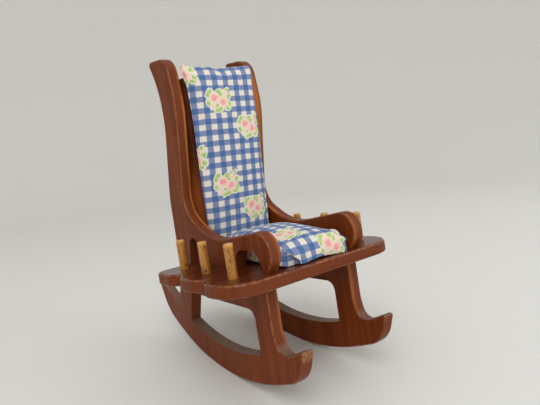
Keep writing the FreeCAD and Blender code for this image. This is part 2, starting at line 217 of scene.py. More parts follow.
@dataclass(frozen=True)
class ChairFrame:
    """The chair's own frame, square to its seat, with its origin on the seat's top."""

    origin: Point
    tilt: float

    @classmethod
    def from_record(cls, record: dict[str, Any]) -> "ChairFrame":
        """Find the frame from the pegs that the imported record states.

        Args:
            record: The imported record.

        Returns:
            The frame.
        """
        mounts = {mount["name"]: mount for mount in record["mounts"]}
        pins = [mounts["spool_pin_left_middle"], mounts["spool_pin_right_middle"]]
        axis = Vector(pins[0]["axis"])
        middle = (Vector(pins[0]["pos_m"]) + Vector(pins[1]["pos_m"])) / 2
        foot = middle - axis * (pins[0]["dims"]["length_mm"] * MM / 2)
        return cls(origin=tuple(foot), tilt=math.atan2(axis.y, axis.z))

    def matrix(self) -> Matrix:
        """Place of the chair's own frame in the row."""
        return Matrix.Translation(self.origin) @ Matrix.Rotation(-self.tilt, 4, "X")

    def places(self, tree: Tree, axes: tuple[Vector, Vector, Vector]) -> Socket:
        """Add the place on the chair in mm, along three of its own axes.

        Args:
            tree: Tree that takes the nodes.
            axes: The three axes, in the chair's own frame.

        Returns:
            The place.
        """
        turn = Matrix(axes) @ self.matrix().to_3x3().inverted()
        shift = turn @ Vector(self.origin) / -MM
        inputs = {
            "Vector": add_node(tree, "TexCoord", out="Object"),
            "Location": tuple(shift),
            "Rotation": tuple(turn.to_euler()),
            "Scale": (1 / MM,) * 3,
        }
        return add_node(tree, "Mapping", inputs)


@dataclass(frozen=True)
class Marks:
    """One kind of mark in wood: noise drawn out along the grain, and the values at which it shows."""

    wide_mm: float
    long_mm: float
    detail: float
    span: Span
    share: float = 1.0
    roughness: float = 0.5
    distortion: float = 0.0

    def pattern(self, tree: Tree, board: Socket) -> Socket:
        """Add the marks.

        Args:
            tree: Tree that takes the nodes.
            board: Place in the board in mm, with the grain along Z.

        Returns:
            The noise.
        """
        scale = (1 / self.wide_mm, 1 / self.wide_mm, 1 / self.long_mm)
        inputs = {
            "Vector": add_node(tree, "Mapping", {"Vector": board, "Scale": scale}),
            "Scale": 1.0,
            "Detail": self.detail,
            "Roughness": self.roughness,
            "Distortion": self.distortion,
        }
        return add_node(tree, "TexNoise", inputs)

    def layer(self, pattern: Socket, colour: str) -> Layer:
        """Layer of colour that the marks give."""
        return (pattern, self.span, self.share, colour)


@dataclass(frozen=True)
class WearAndHighlight:
    """Stain rubbed off the rounded corners of a board, most of all off those to the front.

    The eye gets broken bright lines, partly stain worn off and partly painted highlight where the varnish
    catches the light. A strip along the inner edge and a broader band are more worn and carry more painted
    reflection.
    Heights, depths and distances from the chair's middle are in mm.
    """

    # Each share lays worn stain and painted highlight on the rounded corners together.
    rub_and_highlight: float = 0.75
    least_rub_and_highlight: float = 0.05
    rub_and_highlight_elsewhere: float = 0.0
    frontal_span: Span = (0.05, 0.6)
    patches: Marks = Marks(wide_mm=4.545, long_mm=4.545, detail=3.0, span=(0.4, 0.62), roughness=0.6)
    height_limits: tuple[Span, ...] = ()
    strip: Span | None = None
    strip_patches: Marks = Marks(wide_mm=20.0, long_mm=20.0, detail=2.0, span=(0.3, 0.52))
    strip_wear_and_highlight: Span = (0.3, 0.85)
    strip_heights: Span = (26.0, 36.0)
    nose_depths: Span = (-44.0, -50.0)
    nose_wear_and_highlight: float = 0.5
    band: Span | None = None
    band_heights: Span = (80.0, 110.0)
    band_wear_and_highlight: float = 0.75

    def worn_and_highlight(self, tree: Tree, board: Socket, corner: Socket, frontal: Socket) -> Socket:
        """Add where the stain is gone.

        Args:
            tree: Tree that takes the nodes.
            board: Place in the board in mm.
            corner: 1 on the rounded corners and 0 elsewhere.
            frontal: How squarely the surface faces the front.

        Returns:
            Share of worn wood with painted highlight.
        """
        height = add_node(tree, "SeparateXYZ", (board,), out="Z")
        patchy = (self.patches.pattern(tree, board), *self.patches.span, self.least_rub_and_highlight, self.rub_and_highlight)
        rub_and_highlight = add_node(tree, "MapRange", patchy, **SMOOTH_STEP)
        rub_and_highlight = add_node(tree, "Math", (rub_and_highlight, corner), operation="MULTIPLY")
        if self.strip:
            rub_and_highlight = add_node(tree, "Math", (rub_and_highlight, self.inner_edge(tree, board)), operation="MAXIMUM")
        less = add_node(tree, "Math", (rub_and_highlight, self.rub_and_highlight_elsewhere), operation="MULTIPLY")
        rub_and_highlight = add_node(tree, "MapRange", (frontal, *self.frontal_span, less, rub_and_highlight), **SMOOTH_STEP)
        return limited(tree, rub_and_highlight, [(height, span) for span in self.height_limits])

    def inner_edge(self, tree: Tree, board: Socket) -> Socket:
        """Add the worn strip along the inner edge, and the band outside it.

        Args:
            tree: Tree that takes the nodes.
            board: Place in the board in mm.

        Returns:
            Share of worn wood with painted reflection along the strip.
        """
        split = add_node(tree, "SeparateXYZ", (board,))
        depth, height = split.node.outputs["Y"], split.node.outputs["Z"]
        inward = add_node(tree, "Math", (split,), operation="ABSOLUTE")
        patchy = (self.strip_patches.pattern(tree, board), *self.strip_patches.span, *self.strip_wear_and_highlight)
        # The inner strip is partly worn stain and partly a painted reflection along the varnished edge.
        strip = limited(tree, add_node(tree, "MapRange", patchy, **SMOOTH_STEP), [(inward, self.strip)])
        shown = limited(tree, 1.0, [(height, self.strip_heights)])
        shown = add_node(tree, "MapRange", (depth, *self.nose_depths, shown, self.nose_wear_and_highlight), **SMOOTH_STEP)
        strip = add_node(tree, "Math", (strip, shown), operation="MULTIPLY")
        if self.band:
            band = limited(tree, self.band_wear_and_highlight, [(height, self.band_heights), (inward, self.band)])
            strip = add_node(tree, "Math", (strip, band), operation="MAXIMUM")
        return strip


@dataclass(frozen=True)
class StainedWood:
    """Mahogany stain under gloss varnish on a sawn board.

    The eye gets an orange-brown face with long soft streaks and short dark pores, purplish sawn edges
    with faint saw marks, and bright lines on the rounded corners, partly worn stain and partly painted
    highlight.
    How flat a surface lies in the board tells these apart: 0 on a sawn edge and 1 on a broad face.
    """

    name: str
    grain: Grain
    face: BroadFace
    light: str = "#803d16"
    mid: str = "#6c300f"
    dark: str = "#471b08"
    sawn: str = "#82452a"
    sawn_dark: str = "#6b3720"
    # Worn stain, which also serves as the painted highlight on the rounded corners.
    worn_and_highlight: str = "#bd6f30"
    bare: str = "#b08556"
    # Grey on upward-facing sawn edges low down: partly dust, partly painted sheen of the pale sky in the
    # varnish.
    dust_and_sheen: str = "#7d6c5b"
    # Painted shade: the dark of the gap beside the back pad, laid into the back board's colour.
    shaded: str = "#2a1006"
    streak: Marks = Marks(
        wide_mm=7.0, long_mm=190.0, detail=4.0, span=(0.36, 0.66), roughness=0.55, distortion=0.25
    )
    blotch: Marks = replace(streak, wide_mm=42.0, long_mm=84.0, detail=2.0, span=(0.35, 0.75), share=0.5)
    fibre: Marks = replace(streak, wide_mm=1.2, long_mm=38.0, detail=2.0, span=(0.5, 0.74), share=0.3)
    # Real pores are 0.2 mm wide, which is too fine to show, so they are drawn coarser.
    pore: Marks = replace(streak, wide_mm=0.8, long_mm=9.0, detail=1.0, span=(0.6, 0.72), share=0.4)
    corner_limits: tuple[Span, Span] = ((0.12, 0.4), (0.995, 0.9))
    sawn_span: Span = (0.45, 0.15)
    sawn_streak_span: Span = (0.45, 0.7)
    sawn_streak_share: float = 0.4
    saw_mark_mm: float = 1.3
    saw_slants: Span = (0.6, 0.2)
    saw_mark_span: Span = (0.2, 0.9)
    saw_mark_relief: float = 0.22
    wear_and_highlight: WearAndHighlight = WearAndHighlight()
    dust_and_sheen_below: Span | None = None
    dust_and_sheen_upward: Span = (0.2, 0.75)
    dust_and_sheen_share: float = 0.65
    shaded_from: Span | None = None
    shaded_upward: Span = (0.6, 0.3)
    shaded_frontal: Span = (-0.3, 0.0)
    shaded_share: float = 0.85
    bare_place: Point | None = None
    bare_reach_mm: float = 7.0
    bare_rim_mm: float = 5.0
    bare_ragged_mm: float = 10.0
    bare_share: float = 0.6
    relief_span: Span = (0.1, 0.5)
    relief_mm: float = 0.25
    roughness: Span = (0.36, 0.48)
    roughness_span: Span = (0.3, 0.7)
    coat: float = 0.08
    edge_coat: float = 0.08
    corner_coat: float = 0.7
    coat_span: Span = (0.5, 0.95)
    coat_roughness: float = 0.14

    def material(self, chair: ChairFrame) -> bpy.types.Material:
        """Make the wood for a board.

        Args:
            chair: The chair's own frame, which the grain follows.

        Returns:
            The material.
        """
        material, tree = new_material(self.name)
        along, through = Vector(self.grain.value), Vector(self.face.value)
        board = chair.places(tree, (through, along.cross(through), along))
        turn = chair.matrix().to_3x3()
        flat = self.facing(tree, turn @ through)
        flat = add_node(tree, "Math", (flat,), operation="ABSOLUTE")
        frontal = self.facing(tree, turn @ Vector((0.0, -1.0, 0.0)))
        upward = self.facing(tree, turn @ Vector((0.0, 0.0, 1.0)))
        height = add_node(tree, "SeparateXYZ", (board,), out="Z")
        corner = limited(tree, 1.0, [(flat, span) for span in self.corner_limits])

        kinds = (self.streak, self.blotch, self.fibre, self.pore)
        patterns = [marks.pattern(tree, board) for marks in kinds]
        colours = (self.light, self.mid, self.dark, self.dark)
        layers = [marks.layer(pattern, ink) for marks, pattern, ink in zip(kinds, patterns, colours)]
        colour = layered(tree, self.mid, layers)
        streak, blotch, fibre, _ = patterns
        saw_marks = self.saw_marks(tree, board)
        layers = [
            (saw_marks, self.saw_mark_span, 1.0, self.sawn),
            (streak, self.sawn_streak_span, self.sawn_streak_share, self.mid),
        ]
        # Upward-facing sawn edges low on the chair turn grey: partly dust, partly painted sheen.
        if self.dust_and_sheen_below:
            low = limited(tree, self.dust_and_sheen_share, [(height, self.dust_and_sheen_below)])
            layers.append((upward, self.dust_and_sheen_upward, low, self.dust_and_sheen))
        sawn = layered(tree, self.sawn_dark, layers)
        layers = [(flat, self.sawn_span, 1.0, sawn)]
        # Painted shade on the back board's front and sides high up, where the pad shades the gap beside it.
        if self.shaded_from:
            deep = [(height, self.shaded_from), (upward, self.shaded_upward)]
            shade = limited(tree, self.shaded_share, deep)
            layers.append((frontal, self.shaded_frontal, shade, self.shaded))
        colour = layered(tree, colour, layers)
        # Worn stain and painted highlight on the rounded corners.
        worn_and_highlight = self.wear_and_highlight.worn_and_highlight(tree, board, corner, frontal)
        colour = add_node(tree, "Mix", {0: worn_and_highlight, 6: colour, 7: self.worn_and_highlight}, **MIX_COLOURS)
        if self.bare_place:
            colour = layered(tree, colour, [self.bared(tree, board, fibre)])

        faint = add_node(tree, "Math", (saw_marks, self.saw_mark_relief), operation="MULTIPLY")
        relief = add_node(tree, "MapRange", (flat, *self.relief_span, faint, fibre))
        bump = {"Strength": 0.2, "Distance": self.relief_mm * MM, "Height": relief}
        rough = (blotch, *self.roughness_span, *self.roughness)
        coat = add_node(tree, "MapRange", (flat, *self.coat_span, self.edge_coat, self.coat), **SMOOTH_STEP)
        coat = add_node(tree, "MapRange", (corner, 0.0, 1.0, coat, self.corner_coat), **SMOOTH_STEP)
        inputs = {
            "Base Color": colour,
            "Roughness": add_node(tree, "MapRange", rough, **SMOOTH_STEP),
            "Normal": add_node(tree, "Bump", bump),
            "IOR": 1.5,
            "Specular IOR Level": 0.06,
            "Coat Weight": coat,
            "Coat Roughness": self.coat_roughness,
        }
        add_node(tree, "OutputMaterial", (add_node(tree, "BsdfPrincipled", inputs),))
        return material

    def facing(self, tree: Tree, way: Vector) -> Socket:
        """Add how squarely the surface faces one way.

        Args:
            tree: Tree that takes the nodes.
            way: The way, in the row's frame.

        Returns:
            1 where the surface faces that way, 0 where it lies along it, and -1 on the far side.
        """
        normal = add_node(tree, "TexCoord", out="Normal")
        return add_node(tree, "VectorMath", (normal, tuple(way)), out="Value", operation="DOT_PRODUCT")

    def saw_marks(self, tree: Tree, board: Socket) -> Socket:
        """Add slanting saw marks for the sawn edges.

        Args:
            tree: Tree that takes the nodes.
            board: Place in the board in mm.

        Returns:
            Height of the marks from 0 to 1.
        """
        slant = (self.saw_slants[1], self.saw_slants[0], 1.0)
        run = add_node(tree, "VectorMath", (board, slant), out="Value", operation="DOT_PRODUCT")
        inputs = {
            "Vector": add_node(tree, "CombineXYZ", (run,)),
            "Scale": WAVE_REPEAT / self.saw_mark_mm,
            "Distortion": 7.0,
            "Detail": 3.0,
            "Detail Scale": 0.5,
        }
        return add_node(tree, "TexWave", inputs, out="Fac")

    def bared(self, tree: Tree, board: Socket, fibre: Socket) -> Layer:
        """Add a patch that is worn to bare wood.

        Args:
            tree: Tree that takes the nodes.
            board: Place in the board in mm.
            fibre: Noise along the grain, which breaks the patch's rim.

        Returns:
            The layer of bare wood.
        """
        away = add_node(tree, "VectorMath", (board, self.bare_place), out="Value", operation="DISTANCE")
        ragged = add_node(tree, "Math", (fibre, self.bare_ragged_mm, away), operation="MULTIPLY_ADD")
        rim = (self.bare_reach_mm + self.bare_rim_mm, self.bare_reach_mm)
        return (ragged, rim, self.bare_share, self.bare)


@dataclass(frozen=True)
class VarnishedDowel:
    """Birch dowel under amber varnish.

    The eye gets honey gold with a straight grain, small dark specks, a wet gloss and lighter tops that are
    partly worn and partly painted highlight.
    """

    name: str = "birch_dowel_amber_varnish"
    light: str = "#c98835"
    mid: str = "#a56a23"
    dark: str = "#764617"
    speck: str = "#2b1507"
    # Lighter tops of the pegs: partly worn varnish, partly painted highlight.
    tip_wear_and_highlight: str = "#dda552"
    streak: Marks = Marks(wide_mm=1.6, long_mm=26.0, detail=3.0, span=(0.32, 0.66))
    cloud: Marks = Marks(wide_mm=7.692, long_mm=7.692, detail=3.0, span=(0.48, 0.72), share=0.7)
    tip_from: Span = (23.0, 26.5)
    tip_share: float = 0.7
    speck_mm: float = 3.4
    speck_squash: float = 0.6
    speck_span: Span = (0.22, 0.12)
    speck_share: float = 0.9
    relief_mm: float = 0.2

    def material(self, chair: ChairFrame) -> bpy.types.Material:
        """Make the wood for the pegs.

        Args:
            chair: The chair's own frame, whose upright the pegs follow.

        Returns:
            The material.
        """
        material, tree = new_material(self.name)
        peg = chair.places(tree, (Vector((1, 0, 0)), Vector((0, 1, 0)), Vector((0, 0, 1))))
        streak, cloud = self.streak.pattern(tree, peg), self.cloud.pattern(tree, peg)
        height = add_node(tree, "SeparateXYZ", (peg,), out="Z")
        squat = add_node(tree, "Mapping", {"Vector": peg, "Scale": (1.0, 1.0, self.speck_squash)})
        specks = add_node(tree, "TexVoronoi", {"Vector": squat, "Scale": 1 / self.speck_mm})
        layers = [
            self.streak.layer(streak, self.light),
            self.cloud.layer(cloud, self.dark),
            # Lighter tops: worn varnish with painted highlight.
            (height, self.tip_from, self.tip_share, self.tip_wear_and_highlight),
            (specks, self.speck_span, self.speck_share, self.speck),
        ]
        bump = {"Strength": 0.2, "Distance": self.relief_mm * MM, "Height": streak}
        inputs = {
            "Base Color": layered(tree, self.mid, layers),
            "Normal": add_node(tree, "Bump", bump),
            "Roughness": 0.36,
            "IOR": 1.5,
            "Specular IOR Level": 0.3,
            "Coat Weight": 0.6,
            "Coat Roughness": 0.12,
        }
        add_node(tree, "OutputMaterial", (add_node(tree, "BsdfPrincipled", inputs),))
        return material


@dataclass(frozen=True)
class ScrewSteel:
    """Bright zinc-plated steel: pale grey heads with a faint turned sheen."""

    name: str = "zinc_plated_steel"
    colour: str = "#b9bbbd"
    dull: str = "#9c9d9c"
    dull_span: Span = (0.3, 0.7)
    grit_mm: float = 0.6
    roughness: Span = (0.25, 0.45)

    def material(self) -> bpy.types.Material:
        """Make the plated steel of the screws."""
        material, tree = new_material(self.name)
        places = add_node(tree, "TexCoord", out="Object")
        grit = add_node(tree, "TexNoise", {"Vector": places, "Scale": 1 / (self.grit_mm * MM), "Detail": 2.0})
        inputs = {
            "Base Color": layered(tree, self.colour, [(grit, self.dull_span, 1.0, self.dull)]),
            "Metallic": 1.0,
            "Roughness": add_node(tree, "MapRange", (grit, 0.0, 1.0, *self.roughness), **SMOOTH_STEP),
        }
        add_node(tree, "OutputMaterial", (add_node(tree, "BsdfPrincipled", inputs),))
        return material


@dataclass(frozen=True)
class Bloom:
    """One printed blossom or leaf of a posy, as an ellipse in mm about the posy's middle."""

    across: float
    up: float
    wide: float
    tall: float
    turn: float = 0.0


@dataclass(frozen=True)
class PosyGingham:
    """Plain-weave cotton printed with blue checks and small posies.

    The eye gets soft-edged checks, darker where stripes cross, a fine matt weave, and loose
    pink blossoms with green leaves on a cream ground.
    """

    name: str = "printed_gingham_cotton"
    cream: str = "#e7e1d1"
    stripe: str = "#7684b1"
    crossing: str = "#4b6fa3"
    rose: str = "#f3a4a8"
    deep_rose: str = "#e8848e"
    blush: str = "#f4d6c6"
    leaf: str = "#bfd98c"
    leaf_dark: str = "#93c163"
    check_across_mm: float = 11.5
    check_up_mm: float = 10.7
    stripe_share: float = 0.49
    soft_edge: float = 0.035
    # Real threads are 0.35 mm apart, which is too fine to show, so they are drawn coarser.
    thread_mm: float = 0.7
    thread_span: Span = (0.2, 0.9)
    thread_paling: Span = (1.0, 0.72)
    thread_relief_mm: float = 0.12
    wander_mm: float = 2.857
    check_shift_mm: float = 0.9
    posy_shift_mm: float = 2.4
    posy_across_mm: float = 31.0
    posy_up_mm: float = 82.0
    posy_drops: int = 3
    halo_mm: float = 1.0
    ink_edge_mm: float = 0.25
    leaf_patch_mm: float = 2.0
    leaf_patch_span: Span = (0.42, 0.6)
    petal_mm: float = 2.0
    petal_depth_mm: float = 10.0
    rose_depths: Span = (-6.8, -8.0)
    stroke_mm: float = 1.3333
    stroke_span: Span = (0.54, 0.62)
    stroke_depths: Span = (-8.0, -9.2)
    blossoms: tuple[Bloom, ...] = (
        Bloom(-4.3, 2.7, 5.6, 5.3),
        Bloom(4.3, -2.2, 5.6, 5.2),
        Bloom(6.9, 6.7, 2.9, 2.6),
        Bloom(-6.3, -6.3, 2.8, 2.5),
    )
    leaves: tuple[Bloom, ...] = (
        Bloom(-10.5, 5.4, 2.9, 2.0, 1.2),
        Bloom(-8.5, 9.2, 2.5, 1.8, 0.3),
        Bloom(0.7, 8.3, 3.0, 2.0, 0.4),
        Bloom(2.4, 5.2, 2.0, 1.5, 0.8),
        Bloom(9.4, 10.3, 2.1, 1.5, 0.7),
        Bloom(11.0, 3.4, 2.7, 1.8, 1.2),
        Bloom(11.0, -4.0, 2.8, 1.9, -1.1),
        Bloom(8.5, -8.3, 2.6, 1.8, -0.3),
        Bloom(0.4, -9.2, 3.0, 2.0, 0.4),
        Bloom(-2.2, -5.2, 2.0, 1.4, 0.4),
        Bloom(-3.4, -10.3, 1.9, 1.5, 0.9),
        Bloom(-10.8, -2.5, 2.8, 1.8, -1.2),
    )

    def material(self) -> bpy.types.Material:
        """Make the printed cotton of the pads."""
        material, tree = new_material(self.name)
        cloth = add_node(tree, "UVMap", uv_map=CLOTH_MAP)
        inputs = {"Vector": cloth, "Scale": 1 / self.wander_mm, "Detail": 2.0}
        wander = add_node(tree, "TexNoise", inputs, out="Color")
        wander = add_node(tree, "VectorMath", (wander, (0.5, 0.5, 0.5)), operation="SUBTRACT")
        split = add_node(tree, "SeparateXYZ", (self.shifted(tree, wander, self.check_shift_mm, cloth),))
        warp = self.stripes(tree, split, self.check_across_mm)
        weft = self.stripes(tree, split.node.outputs["Y"], self.check_up_mm)
        either = add_node(tree, "Math", (warp, weft), operation="MAXIMUM")
        both = add_node(tree, "Math", (warp, weft), operation="MULTIPLY")
        threads = self.threads(tree, cloth)
        pale = add_node(tree, "MapRange", (threads, *self.thread_span, *self.thread_paling), **SMOOTH_STEP)
        either = add_node(tree, "Math", (either, pale), operation="MULTIPLY")
        colour = self.cream
        for share, ink in ((either, self.stripe), (both, self.crossing)):
            colour = add_node(tree, "Mix", {0: share, 6: colour, 7: ink}, **MIX_COLOURS)
        bump = {"Strength": 0.35, "Distance": self.thread_relief_mm * MM, "Height": threads}
        inputs = {
            "Base Color": self.posies(tree, cloth, wander, colour),
            "Normal": add_node(tree, "Bump", bump),
            "Roughness": 0.88,
            "IOR": 1.45,
            "Specular IOR Level": 0.25,
            "Sheen Weight": 0.1,
            "Sheen Roughness": 0.5,
        }
        add_node(tree, "OutputMaterial", (add_node(tree, "BsdfPrincipled", inputs),))
        return material

    def shifted(self, tree: Tree, wander: Socket, most: float, place: Socket) -> Socket:
        """Shift a place by noise, so that printed outlines are loose.

        Args:
            tree: Tree that takes the node.
            wander: The noise, about 0.
            most: Size of the shift in mm.
            place: The place in mm.

        Returns:
            The shifted place.
        """
        inputs = (wander, (most, most, 0.0), place)
        return add_node(tree, "VectorMath", inputs, operation="MULTIPLY_ADD")

    def stripes(self, tree: Tree, place: Socket, repeat: float) -> Socket:
        """Add soft-edged stripes across one way of the cloth.

        Args:
            tree: Tree that takes the nodes.
            place: Place across the stripes in mm, with the middle of a pale gap at 0.
            repeat: Distance from stripe to stripe in mm.

        Returns:
            1 in a stripe and 0 between.
        """
        turns = add_node(tree, "Math", (place, repeat), operation="DIVIDE")
        fold = add_node(tree, "Math", (turns, 0.5), operation="PINGPONG")
        edge = 0.5 - self.stripe_share / 2
        return limited(tree, 1.0, [(fold, (edge - self.soft_edge, edge + self.soft_edge))])

    def threads(self, tree: Tree, cloth: Socket) -> Socket:
        """Add the over-and-under of a plain weave.

        Args:
            tree: Tree that takes the nodes.
            cloth: Place on the cloth in mm.

        Returns:
            Height of the threads from 0 to 1.
        """
        inputs = {"Vector": cloth, "Scale": WAVE_REPEAT / self.thread_mm, "Distortion": 0.6}
        waves = [add_node(tree, "TexWave", inputs, out="Fac", bands_direction=way) for way in ("X", "Y")]
        return add_node(tree, "Math", waves, operation="MULTIPLY")

    def posies(self, tree: Tree, cloth: Socket, wander: Socket, ground: Socket) -> Socket:
        """Print the posies over the checks, each column set lower than the last.

        Args:
            tree: Tree that takes the nodes.
            cloth: Place on the cloth in mm.
            wander: Noise that makes the printed outlines loose.
            ground: Colour of the checks.

        Returns:
            The printed colour.
        """
        split = add_node(tree, "SeparateXYZ", (cloth,))
        column = add_node(tree, "Math", (split, self.posy_across_mm), operation="DIVIDE")
        number = add_node(tree, "Math", (column,), operation="FLOOR")
        across = add_node(tree, "Math", (column, number), operation="SUBTRACT")
        drop = add_node(tree, "Math", (number, float(self.posy_drops)), operation="FLOORED_MODULO")
        row = add_node(tree, "Math", (split.node.outputs["Y"], self.posy_up_mm), operation="DIVIDE")
        row = add_node(tree, "Math", (drop, 1 / self.posy_drops, row), operation="MULTIPLY_ADD")
        up = add_node(tree, "Math", (row,), operation="FRACT")
        half = (self.posy_across_mm / 2, self.posy_up_mm / 2)
        across = add_node(tree, "MapRange", (across, 0.0, 1.0, -half[0], half[0]))
        up = add_node(tree, "MapRange", (up, 0.0, 1.0, -half[1], half[1]))
        place = self.shifted(tree, wander, self.posy_shift_mm, add_node(tree, "CombineXYZ", (across, up)))
        blossoms = self.nearest(tree, place, self.blossoms)
        leaves = self.nearest(tree, place, self.leaves)
        reach = add_node(tree, "Math", (blossoms, leaves), operation="MINIMUM")
        patch = add_node(tree, "TexNoise", {"Vector": cloth, "Scale": 1 / self.leaf_patch_mm, "Detail": 1.0})
        green = layered(tree, self.leaf, [(patch, self.leaf_patch_span, 1.0, self.leaf_dark)])
        edge = (self.ink_edge_mm, -self.ink_edge_mm)
        layers = [
            (reach, (self.halo_mm + edge[0], self.halo_mm + edge[1]), 1.0, self.cream),
            (leaves, edge, 1.0, green),
            (blossoms, edge, 1.0, self.petals(tree, cloth, blossoms)),
        ]
        return layered(tree, ground, layers)

    def nearest(self, tree: Tree, place: Socket, blooms: tuple[Bloom, ...]) -> Socket:
        """Measure how far a place is outside the nearest of several ellipses.

        Args:
            tree: Tree that takes the nodes.
            place: Place in the posy in mm.
            blooms: The ellipses.

        Returns:
            Distance in mm, below 0 inside.
        """
        found = None
        for bloom in blooms:
            inputs = {
                "Vector": place,
                "Location": (bloom.across, bloom.up, 0.0),
                "Rotation": (0.0, 0.0, bloom.turn),
                "Scale": (bloom.wide, bloom.tall, 1.0),
            }
            local = add_node(tree, "Mapping", inputs, vector_type="TEXTURE")
            length = add_node(tree, "VectorMath", (local,), out="Value", operation="LENGTH")
            small = min(bloom.wide, bloom.tall)
            away = add_node(tree, "Math", (length, small, -small), operation="MULTIPLY_ADD")
            if found is not None:
                away = add_node(tree, "Math", (found, away), operation="MINIMUM")
            found = away
        return found

    def petals(self, tree: Tree, cloth: Socket, blossoms: Socket) -> Socket:
        """Shade blossoms from a pale rim to a rosy middle with deeper strokes.

        Args:
            tree: Tree that takes the nodes.
            cloth: Place on the cloth in mm.
            blossoms: Distance outside the nearest blossom in mm.

        Returns:
            The colour of the petals.
        """
        inputs = {"Vector": cloth, "Scale": 1 / self.petal_mm, "Detail": 2.0, "Distortion": 1.5}
        curl = add_node(tree, "TexNoise", inputs)
        depth = add_node(tree, "Math", (curl, -self.petal_depth_mm, blossoms), operation="MULTIPLY_ADD")
        inputs = {"Vector": cloth, "Scale": 1 / self.stroke_mm, "Detail": 1.0, "Distortion": 2.5}
        strokes = limited(tree, 1.0, [(add_node(tree, "TexNoise", inputs), self.stroke_span)])
        layers = [
            (depth, self.rose_depths, 1.0, self.rose),
            (depth, self.stroke_depths, strokes, self.deep_rose),
        ]
        return layered(tree, self.blush, layers)


@dataclass(frozen=True)
class StudioPaper:
    """Matt white backdrop paper, very slightly warm."""

    name: str = "matt_backdrop_paper"
    colour: str = "#e8e7e3"

    def material(self) -> bpy.types.Material:
        """Make the paper of the floor and backdrop."""
        material, tree = new_material(self.name)
        inputs = {"Base Color": self.colour, "Roughness": 0.9, "Specular IOR Level": 0.1}
        add_node(tree, "OutputMaterial", (add_node(tree, "BsdfPrincipled", inputs),))
        return material


@dataclass
class Woodwork:
    """The wooden frame, its pegs and its screws, which keep their solids and get their finishes."""

    chair: ChairFrame
    nodes: dict[str, bpy.types.Object]
    # Heights where the worn stain and painted highlight on the sides fade away at the bottom and top.
    wear_and_highlight_heights: tuple[Span, ...] = ((-66.0, -50.0), (196.0, 172.0))
    # Heights below which upward sawn edges turn grey with dust and painted sheen.
    dust_and_sheen_below: Span = (-25.0, -40.0)
    worn_toe: Point = (-46.0, -93.0, -61.0)
    inner_edge: Span = (43.2, 42.2)
    right_band: Span = (49.5, 46.5)
    # Heights over which the painted shade beside the back pad comes in.
    shaded_from: Span = (62.0, 110.0)

    def dress(self) -> None:
        """Give every solid of the woodwork its finish."""
        boards = {node: wood.material(self.chair) for node, wood in self.woods().items()}
        dowel = VarnishedDowel().material(self.chair)
        steel = ScrewSteel().material()
        for name, node in self.nodes.items():
            if name in boards:
                self.finish(node, boards[name])
            elif name.startswith("spool_peg"):
                self.finish(node, dowel)
            elif name.endswith("_screws"):
                self.finish(node, steel)

    def woods(self) -> dict[str, StainedWood]:
        """Choose the wood of each board.

        Returns:
            The wood, by the board's node.
        """
        left = StainedWood(
            "mahogany_stain_left_side",
            Grain.UPRIGHT,
            BroadFace.SIDEWAYS,
            wear_and_highlight=WearAndHighlight(rub_and_highlight=0.4, height_limits=self.wear_and_highlight_heights, strip=self.inner_edge),
            dust_and_sheen_below=self.dust_and_sheen_below,
            bare_place=self.worn_toe,
        )
        right_wear_and_highlight = replace(left.wear_and_highlight, band=self.right_band)
        right = replace(left, name="mahogany_stain_right_side", wear_and_highlight=right_wear_and_highlight)
        seat = StainedWood(
            "mahogany_stain_seat",
            Grain.CROSSWISE,
            BroadFace.UPWARD,
            light="#6a3010",
            mid="#4f2009",
            sawn="#793c21",
            sawn_dark="#6f371f",
            worn_and_highlight="#a25d31",
            wear_and_highlight=WearAndHighlight(rub_and_highlight_elsewhere=0.45),
            saw_mark_mm=2.6,
            saw_slants=(0.5, -0.9),
            coat=0.65,
            coat_roughness=0.06,
        )
        back = StainedWood(
            "mahogany_stain_back",
            Grain.UPRIGHT,
            BroadFace.FRONTWARD,
            sawn="#8c4a20",
            sawn_dark="#783d1a",
            wear_and_highlight=WearAndHighlight(rub_and_highlight=0.0),
            corner_coat=0.08,
            shaded_from=self.shaded_from,
        )
        return {"left_side": left, "right_side": right, "seat_board": seat, "back_board": back}

    def finish(self, node: bpy.types.Object, material: bpy.types.Material) -> None:
        """Put a material on a solid.

        Args:
            node: The solid's object.
            material: Its finish.
        """
        node.data.materials.clear()
        node.data.materials.append(material)
        LOG.info("dressed %s", node.name)


